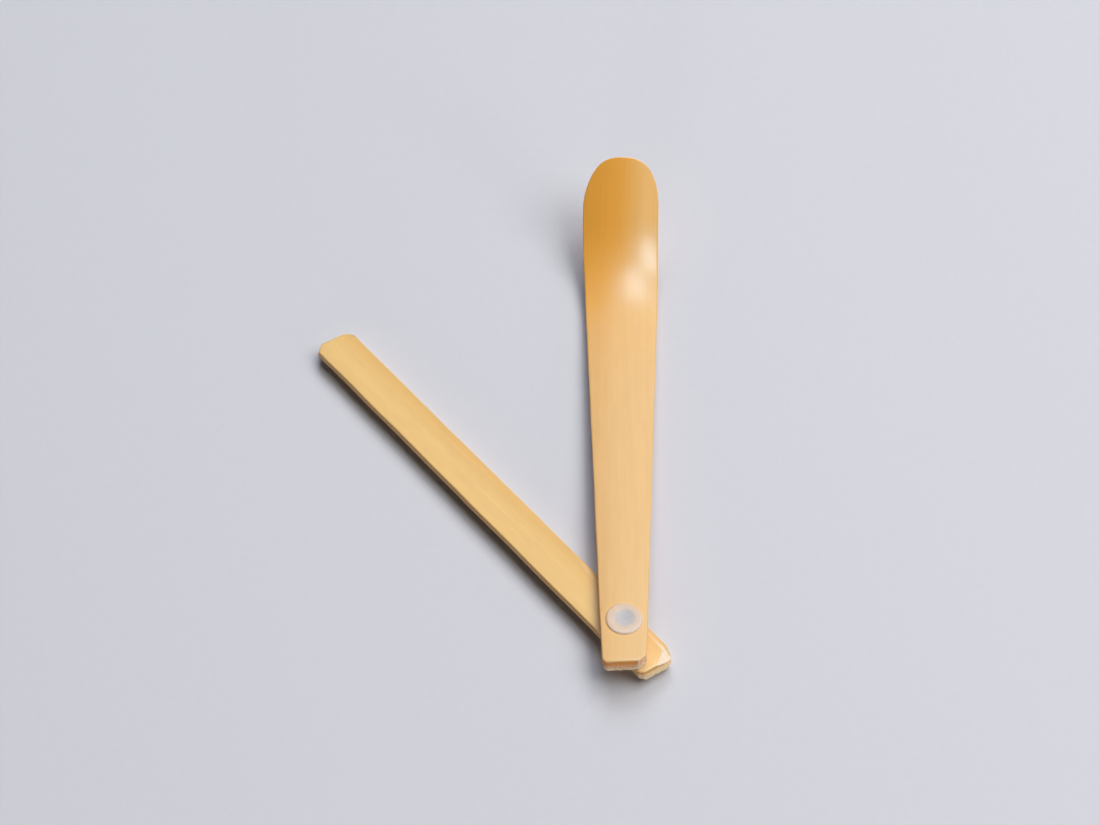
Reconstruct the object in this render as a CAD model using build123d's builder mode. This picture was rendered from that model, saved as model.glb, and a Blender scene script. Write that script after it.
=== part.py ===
# Folding bamboo tea scoop: a scoop blade and a handle arm that turn on a two-piece plastic rivet.
# Millimetres. The origin is on the pivot's axis, on the flat underside of the rivet. +Z runs up the
# pivot, the blade points along +Y, and the handle arm lies turned away from it, towards -X.
from build123d import *
from math import sqrt
import os

# Both arms
open_angle = 40.5  # between the two arms, as the scoop lies half open
culm_radius = 60.0  # round of the bamboo culm, which crowns the upper face of both arms
running_gap = 0.05  # between flat faces that slide on each other at the pivot
arris = 0.25  # round of the upper edges

# Scoop blade
blade_thickness = 2.4
blade_tail = 8.5  # from the pivot back to the sawn end
tail_width = 7.85
tail_cut = 1.2  # corner cut off the sawn end, on the right
tail_ease = 0.5  # smaller cut on its left corner
bend_start = 70.0  # from the pivot to the heat bend
bend_radius = 20.0  # of the upper face
bend_angle = 38.0
bowl_length = 16.0  # straight part of the scoop past the bend
bowl_width = 14.3  # at the end of the bend
shoulder_width = 14.2  # of the scoop's rounded end, shoulder_depth before its tip
shoulder_depth = 8.0
brow_width = 10.8  # of the same end, brow_depth before its tip
brow_depth = 2.5
tip_thickness = 1.1

# Handle arm
handle_thickness = 2.2
handle_width = 7.65
handle_reach = 83.8  # from the pivot to the far end
handle_tail = 9.5  # from the pivot back to the near end
handle_off_centre = 0.4  # the hole was drilled this far right of the middle
handle_corner = 1.2  # cut off each corner

# Rivet
head_diameter = 6.6
head_thickness = 0.9  # of the lower head
head_round = 0.3  # of the lower head's edge
cap_thickness = 0.75  # of the upper head
cap_rim = 0.45  # height of the upper head's upright edge
cap_flat = 5.4  # diameter of the upper head's flat face, inside its rounded edge
dimple_diameter = 3.6
dimple_depth = 0.35
tube_diameter = 3.4  # the shaft that both arms sit on
pin_diameter = 1.8
pin_length = 4.6
bead_diameter = 2.2  # snap bead near the end of the pin
bead_length = 0.5
bead_setback = 0.6  # from the end of the pin to the bead

# Fits
blade_clearance = 0.05  # radial, where the blade turns on the tube
handle_clearance = 0.02  # radial, where the tube sits in the handle arm
pin_clearance = 0.03  # round the pin and its bead
cut_margin = 1.0  # how far a cutting shape runs past what it cuts

# Heights up the pivot
handle_bottom = head_thickness
handle_top = handle_bottom + handle_thickness
blade_bottom = handle_top + running_gap
blade_top = blade_bottom + blade_thickness
head_seat = blade_top + running_gap


def strip_section(plane, width, bottom, top, centre=0.0):
    """Section of a split bamboo strip: flat below, crowned above to the round of the culm."""
    half = width / 2
    edge = top - culm_radius + sqrt(culm_radius**2 - half**2)
    with BuildSketch(plane) as section:
        with BuildLine():
            Polyline(
                (centre - half, edge),
                (centre - half, bottom),
                (centre + half, bottom),
                (centre + half, edge),
            )
            ThreePointArc((centre + half, edge), (centre, top), (centre - half, edge))
        make_face()
    return section.sketch


def rim_edges(arm):
    """Edges round the crowned upper face of an arm, without the seams within it."""
    edges = arm.faces().filter_by(lambda face: face.normal_at().Z > 0.1).edges()
    return edges.filter_by(lambda edge: sum(edge.is_same(other) for other in edges) == 1)


# The blade's upper face follows this line: straight, bent up by heat, then straight to the tip.
with BuildLine(Plane.YZ) as spine:
    run = Line((-blade_tail, blade_top), (bend_start, blade_top))
    bend = JernArc(run @ 1, run % 1, bend_radius, bend_angle)
    bowl = Line(bend @ 1, bend @ 1 + (bend % 1) * bowl_length)

bend_end = bend @ 1
tip = bowl @ 1
bowl_way = bowl % 1
bowl_up = Vector(1, 0, 0).cross(bowl_way)
bowl_run = bowl_way.Y  # along Y, for each millimetre along the bowl

with BuildPart() as scoop_blade:
    # A wide bent strip
    blank = strip_section(
        Plane.XZ.offset(blade_tail), bowl_width + 2 * cut_margin, blade_bottom, blade_top
    )
    sweep(sections=blank, path=spine.line)

    # Pared away underneath, so that the scoop thins to its tip
    heel = bend_end - bowl_up * blade_thickness
    toe = tip - bowl_up * tip_thickness
    toe_out = toe + (toe - heel).normalized() * cut_margin
    waste = bowl_up * (blade_thickness + cut_margin)
    with BuildSketch(Plane.YZ):
        with BuildLine():
            Polyline(
                (heel.Y, heel.Z),
                (toe_out.Y, toe_out.Z),
                ((toe_out - waste).Y, (toe_out - waste).Z),
                ((heel - waste).Y, (heel - waste).Z),
                close=True,
            )
        make_face()
    extrude(amount=bowl_width, both=True, mode=Mode.SUBTRACT)

    # Trimmed to its outline, seen from above: tapered sides, a rounded tip and a sawn end
    with BuildSketch() as blade_outline:
        with BuildLine():
            side = Line((tail_width / 2, -blade_tail), (bowl_width / 2, bend_end.Y))
            Spline(
                side @ 1,
                (shoulder_width / 2, tip.Y - shoulder_depth * bowl_run),
                (brow_width / 2, tip.Y - brow_depth * bowl_run),
                (0, tip.Y),
                tangents=(side % 1, (-1, 0)),
            )
            mirror(about=Plane.YZ)
            Line((-tail_width / 2, -blade_tail), (tail_width / 2, -blade_tail))
        make_face()
        tail_corners = blade_outline.vertices().group_by(Axis.Y)[0].sort_by(Axis.X)
        chamfer(tail_corners[-1], tail_cut)
        chamfer(tail_corners[0], tail_ease)
    extrude(amount=tip.Z + cut_margin, mode=Mode.INTERSECT)
    fillet(rim_edges(scoop_blade), arris)

    # The hole that turns on the rivet's tube
    with BuildSketch(Plane.XY.offset(blade_bottom)):
        Circle(tube_diameter / 2 + blade_clearance)
    extrude(amount=blade_thickness + cut_margin, mode=Mode.SUBTRACT)

# The handle arm lies along its own +Y, turned about the pivot.
handle_plane = Plane.XY.rotated((0, 0, open_angle))
handle_end_plane = Plane.XZ.rotated((0, 0, open_angle)).offset(handle_tail)

with BuildPart() as handle_arm:
    handle_length = handle_tail + handle_reach
    strip = strip_section(
        handle_end_plane, handle_width, handle_bottom, handle_top, -handle_off_centre
    )
    extrude(strip, amount=-handle_length)
    with BuildSketch(handle_plane) as handle_outline:
        with Locations((-handle_off_centre, handle_length / 2 - handle_tail)):
            Rectangle(handle_width, handle_length)
        chamfer(handle_outline.vertices(), handle_corner)
    extrude(amount=handle_top + cut_margin, mode=Mode.INTERSECT)
    fillet(rim_edges(handle_arm), arris)
    with BuildSketch(Plane.XY.offset(handle_bottom)):
        Circle(tube_diameter / 2 + handle_clearance)
    extrude(amount=handle_thickness + cut_margin, mode=Mode.SUBTRACT)

# Lower half of the rivet: a flat head under the handle arm, and the tube through both arms
pin_end = head_seat - pin_length
bead_bottom = pin_end + bead_setback

with BuildPart() as rivet_socket:
    with BuildSketch():
        Circle(head_diameter / 2)
    extrude(amount=head_thickness)
    fillet(rivet_socket.edges().group_by(Axis.Z)[0], head_round)
    with BuildSketch(Plane.XY.offset(head_thickness)):
        Circle(tube_diameter / 2)
    extrude(amount=head_seat - head_thickness)
    with BuildSketch(Plane.XY.offset(pin_end - pin_clearance)):
        Circle(pin_diameter / 2 + pin_clearance)
    extrude(amount=pin_length + cut_margin, mode=Mode.SUBTRACT)
    with BuildSketch(Plane.XY.offset(bead_bottom - pin_clearance)):
        Circle(bead_diameter / 2 + pin_clearance)
    extrude(amount=bead_length + 2 * pin_clearance, mode=Mode.SUBTRACT)

# Upper half of the rivet: a flat head with a rounded edge and a dimple, and the pin that snaps into the tube
head_radius = head_diameter / 2
dimple_radius = dimple_diameter / 2
cap_top = head_seat + cap_thickness

with BuildPart() as rivet_stud:
    with BuildSketch(Plane.XZ):
        with BuildLine():
            Polyline((0, cap_top - dimple_depth), (0, head_seat), (head_radius, head_seat))
            Line((head_radius, head_seat), (head_radius, head_seat + cap_rim))
            Bezier((head_radius, head_seat + cap_rim), (head_radius, cap_top), (cap_flat / 2, cap_top))
            Line((cap_flat / 2, cap_top), (dimple_radius, cap_top))
            Bezier(
                (dimple_radius, cap_top),
                (dimple_radius / 2, cap_top - dimple_depth),
                (0, cap_top - dimple_depth),
            )
        make_face()
    revolve(axis=Axis.Z)
    with BuildSketch(Plane.XY.offset(pin_end)):
        Circle(pin_diameter / 2)
    extrude(amount=pin_length)
    with BuildSketch(Plane.XY.offset(bead_bottom)):
        Circle(bead_diameter / 2)
    extrude(amount=bead_length)

os.makedirs("parts", exist_ok=True)
pieces = {
    "scoop_blade": scoop_blade,
    "handle_arm": handle_arm,
    "rivet_stud": rivet_stud,
    "rivet_socket": rivet_socket,
}
for name, piece in pieces.items():
    piece.part.label = name
    export_step(piece.part, f"parts/{name}.step")
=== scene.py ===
"""Folding bamboo tea scoop: a scoop blade and a handle arm on a plastic rivet, on a plain stage."""

import math

import bmesh
import bpy
import numpy as np
from bpy.props import FloatProperty, FloatVectorProperty, PointerProperty
from mathutils import Matrix, Vector, geometry, noise


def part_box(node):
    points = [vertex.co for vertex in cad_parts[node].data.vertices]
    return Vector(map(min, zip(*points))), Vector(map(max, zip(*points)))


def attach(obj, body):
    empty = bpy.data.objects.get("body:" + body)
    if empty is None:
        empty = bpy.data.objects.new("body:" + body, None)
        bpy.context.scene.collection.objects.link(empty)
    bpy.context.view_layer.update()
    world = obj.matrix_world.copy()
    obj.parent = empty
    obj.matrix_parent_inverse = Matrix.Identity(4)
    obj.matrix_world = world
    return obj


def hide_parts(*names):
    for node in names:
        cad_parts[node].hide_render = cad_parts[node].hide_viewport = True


bl_info = {
    "name": "Folding tea scoop",
    "version": (1, 0, 0),
    "blender": (4, 5, 0),
    "location": "3D View > Sidebar > Tea scoop",
    "description": "Builds the blade, handle arm and rivet of a folding bamboo tea scoop, and a stage",
    "category": "Add Mesh",
}

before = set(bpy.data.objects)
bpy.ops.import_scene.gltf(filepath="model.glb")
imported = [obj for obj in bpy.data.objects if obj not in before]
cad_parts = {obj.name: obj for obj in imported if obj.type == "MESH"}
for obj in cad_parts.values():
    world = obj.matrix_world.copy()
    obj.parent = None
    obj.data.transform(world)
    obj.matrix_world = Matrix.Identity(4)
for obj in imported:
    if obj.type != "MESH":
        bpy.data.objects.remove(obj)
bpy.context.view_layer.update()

MM = 0.001
SHARP_ANGLE = math.radians(50)

# What the frame gives: heights up the pivot, and how far the pieces reach
blade_low, blade_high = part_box("scoop_blade")
handle_low, handle_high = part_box("handle_arm")
stud_low, stud_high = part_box("rivet_stud")
HEAD_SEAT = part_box("rivet_socket")[1].z


def screen(red, green, blue):
    """Linear colour of a screen colour given as 0 to 255."""
    return tuple(((value / 255 + 0.055) / 1.055) ** 2.4 for value in (red, green, blue))


def length(name, description, default):
    """A size in metres."""
    return FloatProperty(name=name, description=description, default=default, precision=5, unit="LENGTH")


def angle(name, description, degrees):
    """An angle, kept in radians."""
    return FloatProperty(
        name=name, description=description, default=math.radians(degrees), subtype="ANGLE"
    )


def colour(name, description, default):
    """A linear colour."""
    return FloatVectorProperty(
        name=name, description=description, default=default, size=3, min=0.0, max=1.0, subtype="COLOR"
    )


class BladeSettings(bpy.types.PropertyGroup):
    """Sizes and colours of the scoop blade."""

    top: length("Top", "Height of the skin at the pivot", HEAD_SEAT - 0.05 * MM)
    thickness: length("Thickness", "Thickness of the straight run", 2.4 * MM)
    hollow: length("Hollow", "How much lower the skin lies before the bend, pared by hand", 0.55 * MM)
    tip_thickness: length("Tip thickness", "Thickness at the tip of the scoop", 1.1 * MM)
    thin_start: length("Thinning start", "Where the underside starts to be pared thinner", 83 * MM)
    tail_half: length("Tail half width", "Half the width at the sawn end", 3.9 * MM)
    bowl_half: length("Scoop half width", "Half the width of the scoop", 7.22 * MM)
    swell_start: length("Swell start", "Where the taper starts to ease into the scoop", 74 * MM)
    tip_round: length("Tip round", "Length of the rounded end of the scoop", 10.3 * MM)
    bulge: length("Bulge", "How far the scoop's sides bulge to the right", -0.2 * MM)
    tip_shift: length("Tip shift", "How far the tip lies to the right of the middle", 0.13 * MM)
    bend_start: length("Bend start", "From the pivot to where the bend starts", 65.4 * MM)
    bend_end: length("Bend end", "From the pivot to where the bend has died away", 87.9 * MM)
    bend_angle: angle("Bend angle", "How far the scoop is bent up", 38)
    hole_radius: length("Hole radius", "Radius of the pivot hole", 1.75 * MM)
    run_crown: length("Run crown", "Round of the skin across the straight run", 70 * MM)
    bowl_crown: length("Scoop crown", "Round of the skin across the scoop", 28 * MM)
    arris: length("Arris", "Round of the edges", 0.2 * MM)
    skin: colour("Skin", "Pale skin of the straight run", screen(230, 185, 116))
    deep_skin: colour("Deep skin", "Deeper skin along the left edge", screen(226, 178, 108))
    deep_from: length("Deep from", "Where the deeper skin starts, across", -1.0 * MM)
    deep_to: length("Deep to", "Where the deeper skin is full, across", -4.6 * MM)
    toast: colour("Toast", "Skin browned by the heat of bending", screen(255, 180, 60))
    # Paler toast on the right: partly less browning, partly a painted sheen
    light_toast: colour("Light toast", "Skin browned less, on the right", screen(249, 189, 88))
    rind: colour("Rind", "Dense brown fibres just under the skin", screen(233, 148, 60))
    flesh: colour("Flesh", "Paler fibres further in", screen(232, 184, 134))
    rind_depth: length("Rind depth", "How deep the brown fibres go", 1.25 * MM)


class HandleSettings(bpy.types.PropertyGroup):
    """Sizes and colours of the handle arm."""

    open_angle: angle("Open angle", "From the blade round to the handle arm", 40.5)
    top: length("Top", "Height of the skin along its middle", handle_high.z)
    thickness: length("Thickness", "Thickness along its middle", handle_high.z - handle_low.z)
    width: length("Width", "Width of the strip", 7.65 * MM)
    off_centre: length("Off centre", "How far the hole was drilled right of the middle", 0.4 * MM)
    hole_radius: length("Hole radius", "Radius of the pivot hole", 1.72 * MM)
    crown: length("Crown", "Round of the skin across the strip", 300 * MM)
    arris: length("Arris", "Round of the edges", 0.2 * MM)
    skin: colour("Skin", "Pale skin", screen(234, 191, 113))
    deep_skin: colour("Deep skin", "Deeper skin along the right edge", screen(226, 177, 92))
    deep_from: length("Deep from", "Where the deeper skin starts, across", -1.2 * MM)
    deep_to: length("Deep to", "Where the deeper skin is full, across", 3.6 * MM)
    rind: colour("Rind", "Dense brown fibres just under the skin", screen(230, 160, 68))
    flesh: colour("Flesh", "Paler fibres further in", screen(255, 223, 170))
    rind_depth: length("Rind depth", "How deep the brown fibres go", 0.75 * MM)


class RivetSettings(bpy.types.PropertyGroup):
    """Sizes and colours of the plastic rivet."""

    head_radius: length("Head radius", "Radius of both heads", stud_high.x)
    cap_height: length("Cap height", "Thickness of the upper head", 0.3 * MM)
    cap_rim: length("Cap rim", "Height of the upper head's upright edge", 0.05 * MM)
    cap_flat: length("Cap flat", "Radius of the upper head's flat face", 2.85 * MM)
    cap_lean: length("Cap lean", "How far in the upper head's edge leans above its rim", 0.15 * MM)
    foot_height: length("Foot height", "Thickness of the lower head", handle_low.z)
    foot_round: length("Foot round", "Round of the lower head's edge", 0.3 * MM)
    dimple_radius: length("Dimple radius", "Radius of the dimple in the upper head", 1.8 * MM)
    dimple_depth: length("Dimple depth", "Depth of the dimple", 0.2 * MM)
    tube_radius: length("Tube radius", "Radius of the tube that both arms sit on", 1.7 * MM)
    pin_radius: length("Pin radius", "Radius of the pin inside the tube", 0.9 * MM)
    bead_radius: length("Bead radius", "Radius of the snap bead on the pin", 1.1 * MM)
    bead_height: length("Bead height", "Height of the snap bead", 0.5 * MM)
    bead_setback: length("Bead setback", "From the end of the pin to the bead", 0.6 * MM)
    clearance: length("Clearance", "Gap round the pin and its bead", 0.03 * MM)
    ring: colour("Ring", "Milky plastic over bamboo", screen(214, 193, 173))
    # Painted shade on the head's edge towards the scoop, where bamboo also shows through
    edge: colour("Edge", "Thin edge of the head, with bamboo showing through", screen(222, 182, 130))
    core: colour("Core", "Grey look of the deep middle", screen(188, 186, 188))


class StageSettings(bpy.types.PropertyGroup):
    """Floor and camera."""

    floor: colour("Floor", "Pale grey paper", screen(208, 210, 218))
    look_x: length("Look point across", "Point level with the pivot, at the picture's middle", -13.03 * MM)
    look_y: length("Look point along", "Point level with the pivot, at the picture's middle", 48.92 * MM)
    camera_distance: length("Camera distance", "From the camera to the look point", 561 * MM)
    camera_elevation: angle("Camera elevation", "Above the plane square to the pivot", 54)
    camera_turn: angle("Camera turn", "About the pivot, from behind the blade", 0.43)


def smooth(value, low, high):
    """A smooth step from 0 to 1 as the value goes from low to high."""
    share = min(max((value - low) / (high - low), 0.0), 1.0)
    return share * share * (3 - 2 * share)


class Nodes:
    """Short ways to add and join nodes in one shader tree."""

    def __init__(self, tree):
        self.tree = tree

    def feed(self, socket, value):
        """Join a socket to another, or set its value."""
        if isinstance(value, bpy.types.NodeSocket):
            self.tree.links.new(value, socket)
        else:
            socket.default_value = value

    def add(self, kind, inputs=None, **settings):
        """Add a node with its settings, and feed its inputs by name or number."""
        node = self.tree.nodes.new("ShaderNode" + kind)
        for name, value in settings.items():
            setattr(node, name, value)
        for key, value in (inputs or {}).items():
            self.feed(node.inputs[key], value)
        return node

    def math(self, operation, first, second=0.0):
        """One step of arithmetic on two values."""
        return self.add("Math", {0: first, 1: second}, operation=operation).outputs[0]

    def ramp(self, value, low, high, start=0.0, end=1.0):
        """A smooth step from start to end as the value goes from low to high."""
        inputs = {"Value": value, "From Min": low, "From Max": high, "To Min": start, "To Max": end}
        return self.add("MapRange", inputs, interpolation_type="SMOOTHSTEP").outputs[0]

    def mix(self, factor, first, second):
        """Blend two colours."""
        inputs = {0: factor, 6: first, 7: second}
        return self.add("Mix", inputs, data_type="RGBA", clamp_factor=True).outputs[2]

    def shade(self, tint, factor):
        """A colour made darker or lighter by a factor."""
        return self.add("VectorMath", {0: tint, "Scale": factor}, operation="SCALE").outputs[0]

    def stretch(self, vector, scale):
        """A vector with each axis scaled."""
        return self.add("VectorMath", {0: vector, 1: scale}, operation="MULTIPLY").outputs[0]

    def noise(self, vector, detail=2.0, roughness=0.5, scale=1.0):
        """Soft noise between 0 and 1."""
        inputs = {"Vector": vector, "Scale": scale, "Detail": detail, "Roughness": roughness}
        return self.add("TexNoise", inputs).outputs["Fac"]

    def past_line(self, strip, place, outward):
        """How far a place on a strip lies past a line across it, in millimetres."""
        offset = self.add("VectorMath", {0: strip, 1: (*place, 0.0)}, operation="SUBTRACT").outputs[0]
        inputs = {0: offset, 1: (*outward, 0.0)}
        return self.add("VectorMath", inputs, operation="DOT_PRODUCT").outputs["Value"]

    def bump(self, shader, strength, height):
        """Fine relief on a shader's surface."""
        relief = self.add("Bump", {"Strength": strength, "Distance": 0.05 * MM, "Height": height})
        self.feed(shader.inputs["Normal"], relief.outputs["Normal"])


def rgba(linear):
    """A colour setting as a socket takes it."""
    return (*linear, 1.0)


def new_group(name, inputs, outputs):
    """An empty shader node group, with its input and output nodes."""
    group = bpy.data.node_groups.new(name, "ShaderNodeTree")
    for socket, kind in inputs.items():
        group.interface.new_socket(socket, in_out="INPUT", socket_type=kind)
    for socket, kind in outputs.items():
        group.interface.new_socket(socket, in_out="OUTPUT", socket_type=kind)
    return group, group.nodes.new("NodeGroupInput"), group.nodes.new("NodeGroupOutput")


def bamboo_fibres():
    """Node group: fibres along a strip of bamboo, from its across, along and depth in millimetres."""
    name = "Bamboo fibres"
    if name in bpy.data.node_groups:
        return bpy.data.node_groups[name]
    outputs = {"Fine": "NodeSocketFloat", "Broad": "NodeSocketFloat", "Mottle": "NodeSocketFloat"}
    group, start, end = new_group(name, {"Strip": "NodeSocketVector"}, outputs)
    nodes = Nodes(group)
    strip = start.outputs["Strip"]
    nodes.feed(end.inputs["Fine"], nodes.noise(nodes.stretch(strip, (3.4, 0.05, 3.4)), 4.0, 0.6))
    nodes.feed(end.inputs["Broad"], nodes.noise(nodes.stretch(strip, (0.7, 0.02, 0.7)), 2.0))
    nodes.feed(end.inputs["Mottle"], nodes.noise(nodes.stretch(strip, (0.45, 0.16, 0.45)), 3.0, 0.6))
    return group


def bamboo_end_grain():
    """Node group: fibre bundles cut across, each a brown spot in a pale ring, and torn fibres."""
    name = "Bamboo end grain"
    if name in bpy.data.node_groups:
        return bpy.data.node_groups[name]
    outputs = {"Bundle": "NodeSocketFloat", "Ring": "NodeSocketFloat", "Fray": "NodeSocketFloat"}
    group, start, end = new_group(name, {"Strip": "NodeSocketVector"}, outputs)
    nodes = Nodes(group)
    strip = start.outputs["Strip"]
    cells = nodes.add("TexVoronoi", {"Vector": nodes.stretch(strip, (1.7, 0.0, 1.9)), "Scale": 1.0})
    reach = cells.outputs["Distance"]
    ring = nodes.math("MULTIPLY", nodes.ramp(reach, 0.2, 0.34), nodes.ramp(reach, 0.6, 0.44))
    nodes.feed(end.inputs["Bundle"], nodes.ramp(reach, 0.34, 0.14))
    nodes.feed(end.inputs["Ring"], ring)
    nodes.feed(end.inputs["Fray"], nodes.noise(nodes.stretch(strip, (5.0, 0.9, 2.0)), 3.0, 0.65))
    return group


def new_material(name):
    """A material with a bare Principled shader, and short ways to add to it."""
    material = bpy.data.materials.new(name)
    material.use_nodes = True
    nodes = Nodes(material.node_tree)
    return material, nodes, material.node_tree.nodes["Principled BSDF"]


# Colours of bamboo that was cut or torn
BUNDLE = screen(158, 96, 46)
BUNDLE_RING = screen(243, 218, 184)
TORN_FIBRE = screen(250, 229, 198)
BARE_FIBRE = screen(243, 234, 224)
DEEP_BARE_FIBRE = screen(237, 216, 188)


def strip_bamboo(name, arm, laid_bare, toasted=False):
    """Bamboo for one arm: skin, cut sides and sawn ends, read from the strip's own attributes.

    laid_bare gives a mask of where pale fibres show, from the nodes, the strip and the torn fibres.
    """
    material, nodes, shader = new_material(name)
    strip = nodes.add("Attribute", attribute_name="strip").outputs["Vector"]
    endwise = nodes.add("Attribute", attribute_name="endwise").outputs["Fac"]
    across, along, depth = nodes.add("SeparateXYZ", {0: strip}).outputs
    fine, broad, mottle = nodes.add("Group", {"Strip": strip}, node_tree=bamboo_fibres()).outputs
    bundle, ring, fray = nodes.add("Group", {"Strip": strip}, node_tree=bamboo_end_grain()).outputs

    # Skin: pale, with faint fibres, and browned where the blade was bent over heat
    streaks = nodes.math("MULTIPLY", nodes.math("ADD", broad, mottle), 0.5)
    # Darker skin towards one edge: the left edge on the blade, the right edge on the handle
    edgewise = nodes.ramp(across, arm.deep_from / MM, arm.deep_to / MM)
    skin = nodes.mix(edgewise, rgba(arm.skin), rgba(arm.deep_skin))
    skin = nodes.shade(skin, nodes.ramp(streaks, 0.38, 0.62, 1.0, 0.95))
    if toasted:
        # The heat rises along the blade, in millimetres, later on the right, and in patches
        patchy = nodes.math("MULTIPLY", nodes.math("SUBTRACT", mottle, 0.5), 8.0)
        slanted = nodes.math("SUBTRACT", along, nodes.math("MULTIPLY", across, 0.9))
        heat = nodes.math("ADD", slanted, patchy)
        warmed = nodes.ramp(heat, 44.0, 78.0, 0.0, 0.3)
        browned = nodes.math("ADD", warmed, nodes.ramp(heat, 66.0, 90.0, 0.0, 0.7))
        # Towards the right the toast is paler: partly less browning, partly a painted sheen
        rightward = nodes.math("ADD", across, nodes.math("MULTIPLY", patchy, 0.3))
        toast = nodes.mix(nodes.ramp(rightward, -1.5, 4.5), rgba(arm.toast), rgba(arm.light_toast))
        # Painted shade: the toast is darker over the bend, where more light falls than on the scoop
        toast = nodes.shade(toast, nodes.ramp(heat, 62.0, 84.0, 0.86, 1.0))
        skin = nodes.mix(browned, skin, toast)
    skin = nodes.shade(skin, nodes.ramp(fine, 0.2, 0.8, 0.965, 1.025))

    # Under the skin: fibres that are brown and dense at first, and paler further in
    rind_depth = arm.rind_depth / MM
    deeper = nodes.ramp(depth, rind_depth - 0.45, rind_depth + 0.45)
    inner = nodes.mix(deeper, rgba(arm.rind), rgba(arm.flesh))
    side = nodes.mix(nodes.math("MULTIPLY", deeper, 0.6), rgba(arm.rind), rgba(arm.flesh))
    side = nodes.shade(side, nodes.ramp(fine, 0.35, 0.65, 0.8, 1.0))
    under_skin = nodes.ramp(depth, 0.2, 0.4)
    body = nodes.mix(under_skin, skin, side)

    # Sawn ends: the same fibres cut across, with bundles in pale rings, and torn fibres
    deep = nodes.ramp(depth, 0.6, 1.5, 0.2, 1.0)
    ringed = nodes.math("MULTIPLY", ring, nodes.math("MULTIPLY", deep, 0.45))
    ends = nodes.mix(ringed, inner, rgba(BUNDLE_RING))
    ends = nodes.mix(nodes.math("MULTIPLY", bundle, 0.5), ends, rgba(BUNDLE))
    lip = nodes.ramp(depth, 1.5, 2.1, 0.0, 0.16)
    torn = nodes.ramp(nodes.math("ADD", fray, lip), 0.55, 0.72, 0.0, 0.8)
    ends = nodes.mix(nodes.math("MULTIPLY", torn, deep), ends, rgba(TORN_FIBRE))
    sawn = nodes.math("MULTIPLY", nodes.ramp(endwise, 0.35, 0.7), nodes.ramp(depth, 0.14, 0.26))
    body = nodes.mix(sawn, body, ends)

    # Pale fibres laid bare
    bare = nodes.mix(nodes.ramp(fine, 0.3, 0.7), rgba(BARE_FIBRE), rgba(DEEP_BARE_FIBRE))
    pared = laid_bare(nodes, strip, fray)
    body = nodes.mix(pared, body, bare)
    nodes.feed(shader.inputs["Base Color"], body)

    # Satin where the skin is whole, and dull where it is cut
    raw = nodes.math("MAXIMUM", nodes.math("MAXIMUM", sawn, pared), under_skin)
    dullness = nodes.ramp(raw, 0.0, 1.0, 0.38, 0.65)
    dullness = nodes.math("ADD", dullness, nodes.ramp(fine, 0.3, 0.7, -0.03, 0.04))
    nodes.feed(shader.inputs["Roughness"], dullness)
    nodes.feed(shader.inputs["Coat Weight"], nodes.math("SUBTRACT", 1.0, raw))
    shader.inputs["Coat Roughness"].default_value = 0.28
    shader.inputs["Coat IOR"].default_value = 1.7
    shader.inputs["Specular IOR Level"].default_value = 0.4
    rough = nodes.math("MULTIPLY", fray, nodes.math("MULTIPLY", raw, 4.0))
    nodes.bump(shader, 0.06, nodes.math("ADD", fine, rough))
    return material


# Colours of nylon: a pale painted highlight for the head's side towards the sawn end, and where it is cloudy
PAINTED_HIGHLIGHT_NYLON = screen(226, 214, 204)
CLOUDY_NYLON = screen(236, 228, 218)


def milky_nylon(rivet):
    """Natural nylon: a milky ring where bamboo lies close under it, greyer over the deep middle."""
    material, nodes, shader = new_material("rivet_nylon_milky")
    place = nodes.stretch(nodes.add("TexCoord").outputs["Object"], (1 / MM,) * 3)
    flat = nodes.stretch(place, (1.0, 1.0, 0.0))
    radius = nodes.add("VectorMath", {0: flat}, operation="LENGTH").outputs["Value"]
    # The grey core shows a little to the right of the pivot's axis
    core = (0.18, 0.09, 0.0)
    from_core = nodes.add("VectorMath", {0: flat, 1: core}, operation="SUBTRACT").outputs[0]
    core_radius = nodes.add("VectorMath", {0: from_core}, operation="LENGTH").outputs["Value"]
    cloud = nodes.noise(place, 3.0, 0.6, 0.9)
    fringe = nodes.math("ADD", core_radius, nodes.ramp(cloud, 0.3, 0.7, -0.05, 0.05))
    tint = nodes.mix(nodes.ramp(fringe, 1.45, 2.1), rgba(rivet.core), rgba(rivet.ring))
    # Painted light and shade, keyed to one side of the head: its edge towards the scoop is darkened, a
    # painted shade where bamboo also shows through, and its rim towards the sawn end is paler, a painted
    # highlight and glow
    painted_light_side = (0.4, -0.92, 0.0)
    milky = nodes.add("VectorMath", {0: flat, 1: painted_light_side}, operation="DOT_PRODUCT").outputs["Value"]
    # Painted shade: the edge towards the scoop darkened, with bamboo showing through it
    thin = nodes.math("MULTIPLY", nodes.ramp(radius, 2.7, 3.25), nodes.ramp(milky, 1.5, -2.0, 0.1, 0.85))
    tint = nodes.mix(thin, tint, rgba(rivet.edge))
    # Painted highlight: a pale rim and glow on the side towards the sawn end
    thick = nodes.math("MULTIPLY", nodes.ramp(radius, 1.9, 2.9), nodes.ramp(milky, 0.3, 2.6, 0.0, 0.4))
    tint = nodes.mix(thick, tint, rgba(PAINTED_HIGHLIGHT_NYLON))
    tint = nodes.mix(nodes.ramp(cloud, 0.4, 0.75, 0.0, 0.2), tint, rgba(CLOUDY_NYLON))
    nodes.feed(shader.inputs["Base Color"], tint)
    nodes.feed(shader.inputs["Roughness"], nodes.ramp(cloud, 0.3, 0.7, 0.32, 0.45))
    shader.inputs["Subsurface Weight"].default_value = 0.2
    shader.inputs["Subsurface Radius"].default_value = (1.0, 0.9, 0.8)
    shader.inputs["Subsurface Scale"].default_value = 1.0 * MM
    nodes.bump(shader, 0.1, cloud)
    return material


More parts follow.
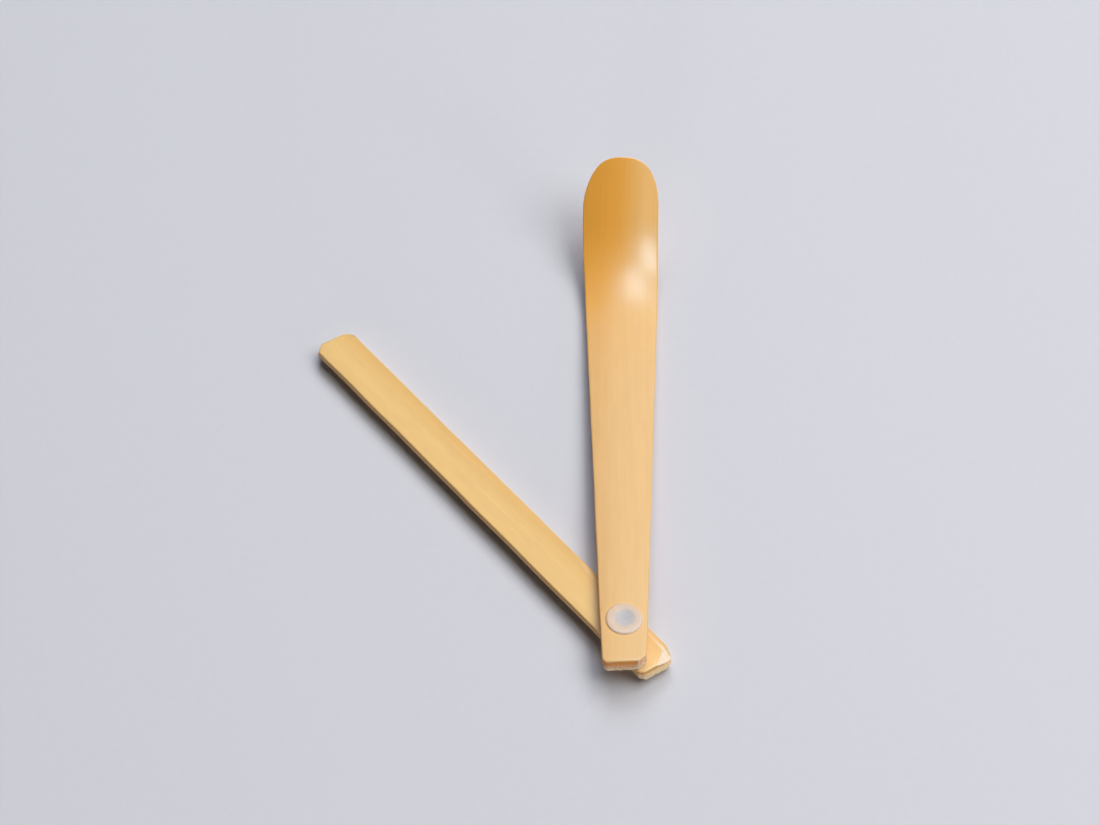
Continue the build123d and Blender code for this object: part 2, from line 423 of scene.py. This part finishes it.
def floor_paper(stage):
    """Matt pale paper with a faint tooth."""
    material, nodes, shader = new_material("floor_paper")
    place = nodes.add("TexCoord").outputs["Object"]
    tooth = nodes.noise(place, 4.0, 0.7, 900.0)
    hollows = [value * 0.985 for value in stage.floor]
    paper = nodes.mix(nodes.ramp(tooth, 0.3, 0.7), rgba(hollows), rgba(stage.floor))
    nodes.feed(shader.inputs["Base Color"], paper)
    shader.inputs["Roughness"].default_value = 0.9
    shader.inputs["Specular IOR Level"].default_value = 0.2
    nodes.bump(shader, 0.3, tooth)
    return material


def bored_plate(plan, hole_radius, thickness, arris, columns, rows):
    """Flat blank of an arm, its skin at height 0: a grid laid out by a plan, bored, thickened and eased.

    The plan gives a place across and along for grid coordinates that run from -1 to 1.
    """
    bm = bmesh.new()
    bmesh.ops.create_grid(bm, x_segments=columns, y_segments=rows, size=1.0)
    for vert in bm.verts:
        across, along = plan(vert.co.x, vert.co.y)
        vert.co = (across, along, 0.0)
    bore(bm, hole_radius)

    lower = bmesh.ops.extrude_face_region(bm, geom=bm.faces[:])["geom"]
    lower_verts = [item for item in lower if isinstance(item, bmesh.types.BMVert)]
    bmesh.ops.translate(bm, verts=lower_verts, vec=(0.0, 0.0, -thickness))
    bmesh.ops.recalc_face_normals(bm, faces=bm.faces[:])
    walls = [edge for edge in bm.edges if abs(edge.verts[0].co.z - edge.verts[1].co.z) > thickness / 2]
    bmesh.ops.subdivide_edges(bm, edges=walls, cuts=8, use_grid_fill=True)

    clear = 1.3 * hole_radius
    rims = [edge for edge in bm.edges if is_rim(edge) and edge.verts[0].co.xy.length > clear]
    bmesh.ops.bevel(
        bm, geom=rims, offset=arris, affect="EDGES", segments=3, profile=0.5, material=-1, clamp_overlap=False
    )
    return bm


def bore(bm, radius):
    """Open a round hole at the pivot: take out a patch of faces and join its edge to a circle."""
    reach = 1.25 * radius
    patch = {face for face in bm.faces if max(map(abs, face.calc_center_median().xy)) < reach}
    patch_edge = [edge for edge in bm.edges if sum(face in patch for face in edge.link_faces) == 1]
    bmesh.ops.delete(bm, geom=list(patch), context="FACES")
    circle = set(bmesh.ops.create_circle(bm, segments=len(patch_edge), radius=radius)["verts"])
    ring = [edge for edge in bm.edges if circle.issuperset(edge.verts)]
    bmesh.ops.bridge_loops(bm, edges=patch_edge + ring)


def is_rim(edge):
    """Whether an edge parts a flat face from a wall."""
    tilts = sorted(abs(face.normal.z) for face in edge.link_faces)
    return len(tilts) == 2 and tilts[0] < 0.5 < tilts[1]


def mark_strip(bm):
    """Keep each point's place on the flat blank, in millimetres, and how far each wall faces along it."""
    strip = bm.verts.layers.float_vector.new("strip")
    for vert in bm.verts:
        vert[strip] = Vector((vert.co.x, vert.co.y, -vert.co.z)) / MM
    endwise = bm.faces.layers.float.new("endwise")
    bm.normal_update()
    for face in bm.faces:
        face[endwise] = abs(face.normal.y)


def pare(bm, place, outward, slope, reach):
    """Shave a facet off the skin: past a line, what stands above a sloping plane goes down to it.

    Place and reach are in millimetres. Beyond its reach along the line, the cut runs out.
    """
    for vert in bm.verts:
        offset = vert.co.xy / MM - Vector(place)
        beyond = max(abs(offset.cross(Vector(outward))) - reach, 0.0)
        past = offset.dot(Vector(outward)) - beyond / 2
        if past > 0:
            vert.co.z = min(vert.co.z, -past * slope * MM)


def undercut(place, half_width, thickness, from_end):
    """A point's place across, with a strip's lower edges drawn in, though less so at its ends."""
    inner = 2.3 * MM  # closer to the middle, round the hole, nothing moves
    upright = 0.72  # share of the thickness that stays upright
    full_draw = 0.55 * MM
    end_share = 0.4  # share of the full draw at the very end
    draw = full_draw * (end_share + (1 - end_share) * smooth(from_end, 0.5 * MM, 3 * MM))
    low = max(0.0, (-place.z / thickness - upright) / (1 - upright))
    outside = max(0.0, abs(place.x) - inner)
    return place.x - math.copysign(outside * low * draw / (half_width - inner), place.x)


def fray_ends(bm, thickness):
    """Leave the sawn ends as a saw does: leaning out below, uneven, with fibres left at the lower edge."""
    slant = 0.45 * MM  # how far the cut leans out at its lower edge
    rough = 0.08 * MM  # how uneven it is
    tuft = 0.26 * MM  # length of the longest fibres
    rough_scale = 2.7  # of the noise, for each millimetre
    tuft_scale = 2.1
    least_endwise = 0.6  # what counts as a sawn end
    endwise = bm.faces.layers.float["endwise"]
    for vert in bm.verts:
        if any(face[endwise] > least_endwise for face in vert.link_faces):
            place = vert.co / MM
            depth = -vert.co.z / thickness
            uneven = rough * noise.noise(place * rough_scale) * smooth(depth, 0.05, 0.25)
            tufted = max(0.0, noise.noise((place.x * tuft_scale, 3.5, 0.5)))
            fibres = tuft * tufted * smooth(depth, 0.7, 1.0)
            vert.co.y += math.copysign(slant * depth + uneven + fibres, place.y)


def wander(across, along, depth, pitch, line):
    """How far a hand-cut edge strays: a line of soft noise, not the same on both sides of a strip."""
    return depth * noise.noise((math.copysign(line[0], across), along / pitch, line[1]))


def put_piece(bm, name, node, body, material):
    """Make and return a piece at the origin, with its place in its mesh, that stands for its node."""
    mesh = bpy.data.meshes.new(name)
    bm.to_mesh(mesh)
    bm.free()
    mesh.shade_smooth()
    mesh.set_sharp_from_angle(angle=SHARP_ANGLE)
    mesh.materials.append(material)
    piece = bpy.data.objects.new(name, mesh)
    bpy.context.scene.collection.objects.link(piece)
    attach(piece, body)
    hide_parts(node)
    return piece


class SCOOP_OT_blade(bpy.types.Operator):
    """Make the scoop blade: a flat tapered blank, bored and eased, then bent up at its end"""

    bl_idname = "tea_scoop.blade"
    bl_label = "Scoop blade"

    # Sawn end, from left to right: places across and along, in millimetres
    TAIL = ((-3.95, -7.9), (-3.6, -8.6), (-3.1, -8.82), (2.6, -8.5), (3.92, -7.3))

    # Stretches along the blade over which a change of its shape goes from none to full
    HOLLOW_STARTS = 10 * MM, 46 * MM
    HOLLOW_ENDS = 82 * MM, 62 * MM
    SCOOP_CROWN = 54 * MM, 84 * MM
    TIP_SHIFT = 90 * MM, 97 * MM

    # Where the scoop's sides bulge, and how far from there the bulge has died away
    BULGE_PLACE = 86 * MM
    BULGE_REACH = 12 * MM

    TIP_LEAN = 0.8  # how far the tip's edge leans back, for each millimetre down

    def execute(self, context):
        blade = context.scene.tea_scoop_blade
        self.line = self.skin_line(blade)
        self.tip = np.interp(blade_high.y, self.line["along"], self.line["skin"])
        self.tip_start = self.tip - blade.tip_round

        def plan(u, v):
            return self.plan(blade, u, v)

        bm = bored_plate(plan, blade.hole_radius, blade.thickness, blade.arris, columns=32, rows=200)
        mark_strip(bm)
        fray_ends(bm, blade.thickness)
        for vert in bm.verts:
            vert.co = self.bend(blade, self.dress(blade, vert.co))
        bamboo = strip_bamboo("bamboo_blade_skin", blade, self.torn_corner, toasted=True)
        put_piece(bm, "bamboo_blade", "scoop_blade", "blade", bamboo)
        return {"FINISHED"}

    @staticmethod
    def torn_corner(nodes, strip, fray):
        """Torn fibres below the skin, where the right corner of the sawn end was cut off."""
        corner = nodes.past_line(strip, (2.75, -8.25), (0.7, -0.7))
        depth = nodes.add("SeparateXYZ", {0: strip}).outputs["Z"]
        low = nodes.math("MULTIPLY", nodes.ramp(corner, -0.15, 0.05), nodes.ramp(depth, 0.1, 0.3))
        return nodes.math("MULTIPLY", low, nodes.ramp(fray, 0.42, 0.56, 0.1, 0.95))

    @staticmethod
    def skin_line(blade):
        """The skin's middle line from the pivot on: distance on the skin, place along, height and turn."""
        step = 0.1 * MM
        reach = 120 * MM  # past the tip
        skin = np.arange(0.0, reach, step)
        turn = np.array([blade.bend_angle * smooth(s, blade.bend_start, blade.bend_end) for s in skin])
        along = np.cumsum(np.cos(turn)) * step
        height = blade.top + np.cumsum(np.sin(turn)) * step
        return {"skin": skin, "along": along - step, "height": height, "turn": turn}

    def half_width(self, blade, along):
        """Half the blade's width: a straight taper that eases into the scoop."""
        tail = -blade_low.y
        ease = self.tip_start - blade.swell_start
        slope = (blade.bowl_half - blade.tail_half) / (blade.swell_start + tail + ease / 2)
        past = min(max(along - blade.swell_start, 0.0), ease)
        run = min(along, blade.swell_start) + tail + past - past**2 / (2 * ease)
        return blade.tail_half + slope * run

    def plan(self, blade, u, v):
        """Outline of the flat blank: tapered sides, sawn end with cut corners, rounded tip."""
        body_share = 0.87
        end_reach = 6 * MM
        tail = -blade_low.y
        share = (v + 1) / 2
        if share <= body_share:
            along = -tail + (self.tip_start + tail) * share / body_share
            across = u * self.half_width(blade, along)
            places, cuts = zip(*self.TAIL)
            cut = np.interp(across / MM, places, cuts) * MM + tail
            return across, along + cut * max(0.0, 1 - (along + tail) / end_reach)
        rise = (share - body_share) / (1 - body_share)
        x = u * math.sqrt(1 - rise**2 / 2)
        y = rise * math.sqrt(1 - u**2 / 2)
        swell = self.fuller_round(x, y)
        return blade.bowl_half * x * swell, self.tip_start + blade.tip_round * y * swell

    @staticmethod
    def fuller_round(x, y):
        """How far out a point of the unit circle moves to give the tip its fuller shoulders."""
        reach = math.hypot(x, y)
        if reach == 0:
            return 1.0
        across_power = 2.7
        along_power = 2.05
        inner, outer = 1.0, 1.4
        for _ in range(24):
            middle = (inner + outer) / 2
            across = (middle * abs(x) / reach) ** across_power
            along = (middle * y / reach) ** along_power
            inner, outer = (middle, outer) if across + along < 1 else (inner, middle)
        return inner

    def dress(self, blade, place):
        """Give the flat blank its thinner tip, the crown of its skin and a hand-cut unevenness."""
        thinned = min(max((place.y - blade.thin_start) / (self.tip - blade.thin_start), 0.0), 1.0)
        thin = 1 + (blade.tip_thickness / blade.thickness - 1) * thinned
        near_skin = 1 + place.z / blade.thickness
        pared = blade.hollow * smooth(place.y, *self.HOLLOW_STARTS) * smooth(place.y, *self.HOLLOW_ENDS)
        to_bowl = smooth(place.y, *self.SCOOP_CROWN)
        curvature = (1 - to_bowl) / blade.run_crown + to_bowl / blade.bowl_crown
        drop = place.x**2 / 2 * curvature * near_skin
        shift = blade.tip_shift * smooth(place.y, *self.TIP_SHIFT)
        shift += blade.bulge * max(0.0, 1 - ((place.y - self.BULGE_PLACE) / self.BULGE_REACH) ** 2) ** 2
        half_width = self.half_width(blade, place.y)
        eased = undercut(place, half_width, blade.thickness, place.y - blade_low.y)
        strayed = wander(place.x, place.y, depth=0.05 * MM, pitch=9 * MM, line=(3, 0.5))
        across = eased + strayed * place.x / half_width + shift
        along = place.y + self.TIP_LEAN * place.z * thin * smooth(place.y, self.tip_start, self.tip)
        height = place.z * thin - pared * near_skin - drop
        return Vector((across, along, height))

    def bend(self, blade, place):
        """Carry a point of the flat blank to its place on the blade bent by heat."""
        if place.y <= 0:
            return Vector((place.x, place.y, blade.top + place.z))
        line = self.line
        keys = ("along", "height", "turn")
        along, height, turn = (np.interp(place.y, line["skin"], line[key]) for key in keys)
        return Vector((place.x, along - place.z * math.sin(turn), height + place.z * math.cos(turn)))


class SCOOP_OT_handle(bpy.types.Operator):
    """Make the handle arm: a straight strip with its corners cut off"""

    bl_idname = "tea_scoop.handle"
    bl_label = "Handle arm"

    # Sawn ends, from left to right: places across and along, in millimetres
    NEAR = ((-4.2, -8.5), (-3.5, -9.4), (0.9, -10.05), (2.2, -9.85), (2.9, -9.2), (3.4, -7.9))
    FAR = ((-4.25, 82.9), (-2.7, 84.1), (1.8, 83.4), (3.1, 82.5), (3.4, 81.6))

    # Facets shaved off the near end: a place on the inner line, in millimetres, and the way past it
    EDGE_FACET = (2.25, 2.5), (1.0, -0.02)
    CORNER_FACET = (0.7, -8.6), (0.504, -0.863)

    # Right edge shaved narrower: how much, and where that starts and is full, along and across
    SHAVING = 0.28 * MM
    SHAVED_ALONG = 12 * MM, 8 * MM
    SHAVED_ACROSS = 2.3 * MM, 3.4 * MM

    def execute(self, context):
        handle = context.scene.tea_scoop_handle

        def plan(u, v):
            return self.plan(handle, u, v)

        bm = bored_plate(plan, handle.hole_radius, handle.thickness, handle.arris, columns=28, rows=200)
        mark_strip(bm)
        pare(bm, *self.EDGE_FACET, slope=0.2, reach=11)
        pare(bm, *self.CORNER_FACET, slope=0.45, reach=1.4)
        fray_ends(bm, handle.thickness)
        turn = Matrix.Rotation(handle.open_angle, 3, "Z")
        for vert in bm.verts:
            vert.co = turn @ self.dress(handle, vert.co)
        bamboo = strip_bamboo("bamboo_handle_skin", handle, self.shaved)
        put_piece(bm, "bamboo_handle", "handle_arm", "handle", bamboo)
        return {"FINISHED"}

    def shaved(self, nodes, strip, fray):
        """Pale fibres along the inner line of the long facet, and over most of the corner facet."""
        across, along, depth = nodes.add("SeparateXYZ", {0: strip}).outputs
        ragged = nodes.math("MULTIPLY", nodes.math("SUBTRACT", fray, 0.5), 0.8)
        edge = nodes.math("ADD", nodes.past_line(strip, *self.EDGE_FACET), ragged)
        line = nodes.math("MULTIPLY", nodes.ramp(edge, -0.25, 0.1), nodes.ramp(edge, 0.7, 0.2))
        line = nodes.math("MULTIPLY", line, nodes.ramp(along, 16.0, 11.0))
        line = nodes.math("MULTIPLY", line, nodes.ramp(along, -5.5, -8.5, 0.28, 0.9))
        rough_edge = nodes.math("MULTIPLY", ragged, 0.6)
        corner = nodes.math("ADD", nodes.past_line(strip, *self.CORNER_FACET), rough_edge)
        inward = nodes.ramp(across, 2.6, 1.9, 0.0, 0.85)
        patch = nodes.math("MULTIPLY", nodes.ramp(corner, 0.0, 0.45), inward)
        shaved = nodes.math("MAXIMUM", line, patch)
        return nodes.math("MULTIPLY", shaved, nodes.ramp(depth, 0.4, 0.2))

    def plan(self, handle, u, v):
        """Outline of the strip, with its hand-cut ends."""
        end_share = 0.08
        share = (v + 1) / 2
        across = u * handle.width / 2 - handle.off_centre
        near, far = (self.cut(points, across) for points in (self.NEAR, self.FAR))
        near_row, far_row = (points[1][1] * MM for points in (self.NEAR, self.FAR))
        along = near_row + (far_row - near_row) * share
        along += (near - near_row) * max(0.0, 1 - share / end_share)
        along += (far - far_row) * max(0.0, 1 - (1 - share) / end_share)
        shaved = smooth(along, *self.SHAVED_ALONG) * smooth(across, *self.SHAVED_ACROSS)
        return across - self.SHAVING * shaved, along

    @staticmethod
    def cut(points, across):
        """How far along an end's outline lies, at a place across the strip."""
        places, cuts = zip(*points)
        return np.interp(across / MM, places, cuts) * MM

    def dress(self, handle, place):
        """Crown the skin and let the edges wander a little."""
        across = place.x + handle.off_centre
        drop = across**2 / (2 * handle.crown) * (1 + place.z / handle.thickness)
        from_end = min(place.y - self.NEAR[1][1] * MM, self.FAR[1][1] * MM - place.y)
        eased = undercut(place, handle.width / 2, handle.thickness, from_end)
        strayed = wander(across, place.y, depth=0.07 * MM, pitch=8 * MM, line=(5, 2.5))
        return Vector((eased + strayed * 2 * across / handle.width, place.y, handle.top + place.z - drop))


class SCOOP_OT_rivet(bpy.types.Operator):
    """Turn both halves of the rivet: the stud with its dimpled head and the flat-headed socket"""

    bl_idname = "tea_scoop.rivet"
    bl_label = "Rivet"

    def execute(self, context):
        rivet = context.scene.tea_scoop_rivet
        nylon = milky_nylon(rivet)
        stud_mesh = self.turned(self.stud_profile(rivet))
        stud = put_piece(stud_mesh, "rivet_dimpled_stud", "rivet_stud", "handle", nylon)
        # Its head is so thin that light passes through it to the bamboo
        stud.visible_shadow = False
        socket_mesh = self.turned(self.socket_profile(rivet))
        put_piece(socket_mesh, "rivet_flat_socket", "rivet_socket", "handle", nylon)
        return {"FINISHED"}

    def stud_profile(self, rivet):
        """Half section of the stud, from the middle of its dimple round to the end of its pin."""
        top = HEAD_SEAT + rivet.cap_height
        floor = top - rivet.dimple_depth
        rim = HEAD_SEAT + rivet.cap_rim
        bead_low = stud_low.z + rivet.bead_setback
        bead_high = bead_low + rivet.bead_height
        dimple_corner = (rivet.dimple_radius / 2, floor)
        dimple = self.curve((0, floor), dimple_corner, (rivet.dimple_radius, top), steps=12)
        edge_corner = (rivet.head_radius - rivet.cap_lean, top)
        edge = self.curve((rivet.cap_flat, top), edge_corner, (rivet.head_radius, rim), steps=8)
        pin = [
            (rivet.head_radius, HEAD_SEAT),
            (rivet.pin_radius, HEAD_SEAT),
            (rivet.pin_radius, bead_high),
            (rivet.bead_radius, bead_high),
            (rivet.bead_radius, bead_low),
            (rivet.pin_radius, bead_low),
            (rivet.pin_radius, stud_low.z),
            (0, stud_low.z),
        ]
        return dimple + edge + pin

    def socket_profile(self, rivet):
        """Half section of the socket, from the middle of its flat head round to the bottom of its bore."""
        bore_radius = rivet.pin_radius + rivet.clearance
        groove_radius = rivet.bead_radius + rivet.clearance
        groove_low = stud_low.z + rivet.bead_setback - rivet.clearance
        groove_high = groove_low + rivet.bead_height + 2 * rivet.clearance
        bore_bottom = stud_low.z - rivet.clearance
        flat = rivet.head_radius - rivet.foot_round
        foot_rim = (rivet.head_radius, rivet.foot_round)
        edge = self.curve((flat, 0), (rivet.head_radius, 0), foot_rim, steps=6)
        tube = [
            (rivet.head_radius, rivet.foot_height),
            (rivet.tube_radius, rivet.foot_height),
            (rivet.tube_radius, HEAD_SEAT),
            (bore_radius, HEAD_SEAT),
            (bore_radius, groove_high),
            (groove_radius, groove_high),
            (groove_radius, groove_low),
            (bore_radius, groove_low),
            (bore_radius, bore_bottom),
            (0, bore_bottom),
        ]
        return [(0, 0)] + edge + tube

    @staticmethod
    def curve(start, corner, end, steps):
        """A round stretch of a profile, from start to end, that leaves and arrives towards the corner."""
        start, corner, end = (Vector((*point, 0)) for point in (start, corner, end))
        points = geometry.interpolate_bezier(
            start, start.lerp(corner, 2 / 3), end.lerp(corner, 2 / 3), end, steps
        )
        return [tuple(point.xy) for point in points]

    @staticmethod
    def turned(profile):
        """Spin a half section round the pivot into a closed solid."""
        bm = bmesh.new()
        verts = [bm.verts.new((radius, 0, height)) for radius, height in profile]
        edges = [bm.edges.new(pair) for pair in zip(verts, verts[1:])]
        bmesh.ops.spin(
            bm, geom=verts + edges, axis=(0, 0, 1), cent=(0, 0, 0), angle=math.tau, steps=96, use_merge=True
        )
        bmesh.ops.remove_doubles(bm, verts=bm.verts[:], dist=1e-6)
        bmesh.ops.recalc_face_normals(bm, faces=bm.faces[:])
        return bm


class SCOOP_OT_stage(bpy.types.Operator):
    """Lay the floor that the scoop rests on, and set the light and the camera"""

    bl_idname = "tea_scoop.stage"
    bl_label = "Stage"

    # Tints of the lights
    COLD = (0.7, 1.0, 1.25)
    COOL = (0.93, 0.98, 1.08)
    PLAIN = (1.0, 1.0, 1.0)
    WARM = (1.05, 1.0, 0.94)

    # Name, azimuth from +Y towards +X, elevation, distance, width, length, share of the light on a
    # level floor, tint, whether it lights what is matt, and whether glossy skin mirrors it
    LIGHTS = (
        ("back_left_softbox", -20, 46, 4.0, 1.6, 1.6, 0.08, COOL, True, False),
        ("back_softbox", 2, 40, 4.0, 1.9, 1.9, 0.22, COOL, True, False),
        ("back_right_softbox", 40, 53, 4.0, 1.8, 1.8, 0.22, WARM, True, False),
        ("sheen_softbox", 24, 54, 4.0, 3.0, 3.0, 0.07, PLAIN, True, True),
        ("top_softbox", 48, 74, 1.2, 0.7, 0.7, 0.15, PLAIN, True, False),
        ("top_strip", 55, 77, 1.2, 0.24, 0.65, 0.15, COLD, False, True),
        ("front_strip", 119, 62, 1.2, 0.18, 0.55, 0.14, COLD, False, True),
        ("right_softbox", 102, 54, 1.2, 0.85, 0.85, 0.36, WARM, True, False),
        ("right_card", 128, 14, 1.2, 0.4, 0.4, 0.023, PLAIN, True, True),
        ("front_card", 190, 7, 1.2, 0.28, 0.28, 0.01, COOL, True, True),
    )
    AIM = Vector((-20 * MM, 45 * MM, 0))  # what they all face

    # The world behind it all: its tint, and its strength as fill light, as seen and as mirrored
    WORLD_TINT = (0.97, 0.98, 1.0)
    FILL = 0.005
    BACKDROP = 0.72
    MIRRORED = 0.25

    FLOOR_REACH = 3.0  # metres, from its middle to each side

    # Where the floor lies, in millimetres: under the rivet and the bend, and just clear of the handle's end
    RESTS = ((1.9, 2.3, 0.0), (6.85, 70.9, 3.17), (-51.0, 65.0, 0.45))

    def execute(self, context):
        scene = context.scene
        stage = scene.tea_scoop_stage
        self.lay_floor(scene, stage)
        for light in self.LIGHTS:
            self.soft_light(scene, *light)
        self.set_world(scene)
        self.aim_camera(scene, stage)
        scene.view_settings.view_transform = "Standard"
        return {"FINISHED"}

    def lay_floor(self, scene, stage):
        """A wide plane through the three points that mark where the floor lies."""
        rivet, bend, handle = (Vector(point) * MM for point in self.RESTS)
        up = (bend - rivet).cross(handle - rivet).normalized()
        mesh = bpy.data.meshes.new("floor")
        bm = bmesh.new()
        bmesh.ops.create_grid(bm, x_segments=1, y_segments=1, size=self.FLOOR_REACH)
        lean = up.to_track_quat("Z", "Y").to_matrix()
        bmesh.ops.rotate(bm, verts=bm.verts[:], cent=(0, 0, 0), matrix=lean)
        bmesh.ops.translate(bm, verts=bm.verts[:], vec=rivet)
        bm.to_mesh(mesh)
        bm.free()
        mesh.materials.append(floor_paper(stage))
        floor = bpy.data.objects.new("floor", mesh)
        scene.collection.objects.link(floor)

    def soft_light(
        self, scene, name, azimuth, elevation, distance, width, span, share, tint, lit, mirrored
    ):
        """A soft box that faces the scoop, its length along the blade, as strong as its share."""
        around = math.radians(azimuth)
        up = math.radians(elevation)
        way = Vector((math.sin(around) * math.cos(up), math.cos(around) * math.cos(up), math.sin(up)))
        across = Vector((0, 1, 0)).cross(way).normalized()
        lamp = bpy.data.lights.new(name, "AREA")
        lamp.shape = "ELLIPSE"
        lamp.size = width
        lamp.size_y = span
        lamp.color = tint
        # The power that gives a white level floor this share of full brightness
        lamp.energy = share * math.pi**2 * distance**2 / way.z
        light = bpy.data.objects.new(name, lamp)
        light.matrix_world = Matrix((across, way.cross(across), way)).transposed().to_4x4()
        light.location = self.AIM + way * distance
        light.visible_diffuse = lit
        light.visible_glossy = mirrored
        scene.collection.objects.link(light)

    def set_world(self, scene):
        """Even fill light, with a pale backdrop for what sees or mirrors it."""
        world = bpy.data.worlds.new("studio")
        world.use_nodes = True
        scene.world = world
        nodes = Nodes(world.node_tree)
        background = world.node_tree.nodes["Background"]
        rays = nodes.add("LightPath").outputs
        mirrored = nodes.math("MAXIMUM", rays["Is Glossy Ray"], rays["Is Transmission Ray"])
        level = nodes.ramp(mirrored, 0.0, 1.0, self.FILL, self.MIRRORED)
        seen = nodes.math("MULTIPLY", rays["Is Camera Ray"], self.BACKDROP)
        level = nodes.math("MAXIMUM", level, seen)
        nodes.feed(background.inputs["Color"], rgba(self.WORLD_TINT))
        nodes.feed(background.inputs["Strength"], level)

    @staticmethod
    def aim_camera(scene, stage):
        """Look at the scoop from the picture's angle."""
        picture_width = 1100
        focal_pixels = 3000
        data = bpy.data.cameras.new("picture_camera")
        data.sensor_width = 36.0
        data.lens = focal_pixels / picture_width * data.sensor_width
        data.clip_start = 0.01
        camera = bpy.data.objects.new("picture_camera", data)
        away = Vector((0, -math.cos(stage.camera_elevation), math.sin(stage.camera_elevation)))
        place = Vector((stage.look_x, stage.look_y, 0)) + away * stage.camera_distance
        upright = Matrix.Translation(place) @ away.to_track_quat("Z", "Y").to_matrix().to_4x4()
        camera.matrix_world = Matrix.Rotation(stage.camera_turn, 4, "Z") @ upright
        scene.collection.objects.link(camera)
        scene.camera = camera


class SCOOP_PT_panel(bpy.types.Panel):
    """Lists the operators that build the tea scoop"""

    bl_idname = "SCOOP_PT_panel"
    bl_label = "Folding tea scoop"
    bl_space_type = "VIEW_3D"
    bl_region_type = "UI"
    bl_category = "Tea scoop"

    def draw(self, context):
        for operator in OPERATORS:
            self.layout.operator(operator.bl_idname)


SETTINGS = {
    "tea_scoop_blade": BladeSettings,
    "tea_scoop_handle": HandleSettings,
    "tea_scoop_rivet": RivetSettings,
    "tea_scoop_stage": StageSettings,
}
OPERATORS = (SCOOP_OT_blade, SCOOP_OT_handle, SCOOP_OT_rivet, SCOOP_OT_stage)


def register():
    for name, settings in SETTINGS.items():
        bpy.utils.register_class(settings)
        setattr(bpy.types.Scene, name, PointerProperty(type=settings))
    for operator in OPERATORS:
        bpy.utils.register_class(operator)
    bpy.utils.register_class(SCOOP_PT_panel)


def unregister():
    bpy.utils.unregister_class(SCOOP_PT_panel)
    for operator in reversed(OPERATORS):
        bpy.utils.unregister_class(operator)
    for name, settings in SETTINGS.items():
        delattr(bpy.types.Scene, name)
        bpy.utils.unregister_class(settings)


def main():
    register()
    bpy.ops.tea_scoop.blade()
    bpy.ops.tea_scoop.handle()
    bpy.ops.tea_scoop.rivet()
    bpy.ops.tea_scoop.stage()


if __name__ == "__main__":
    main()
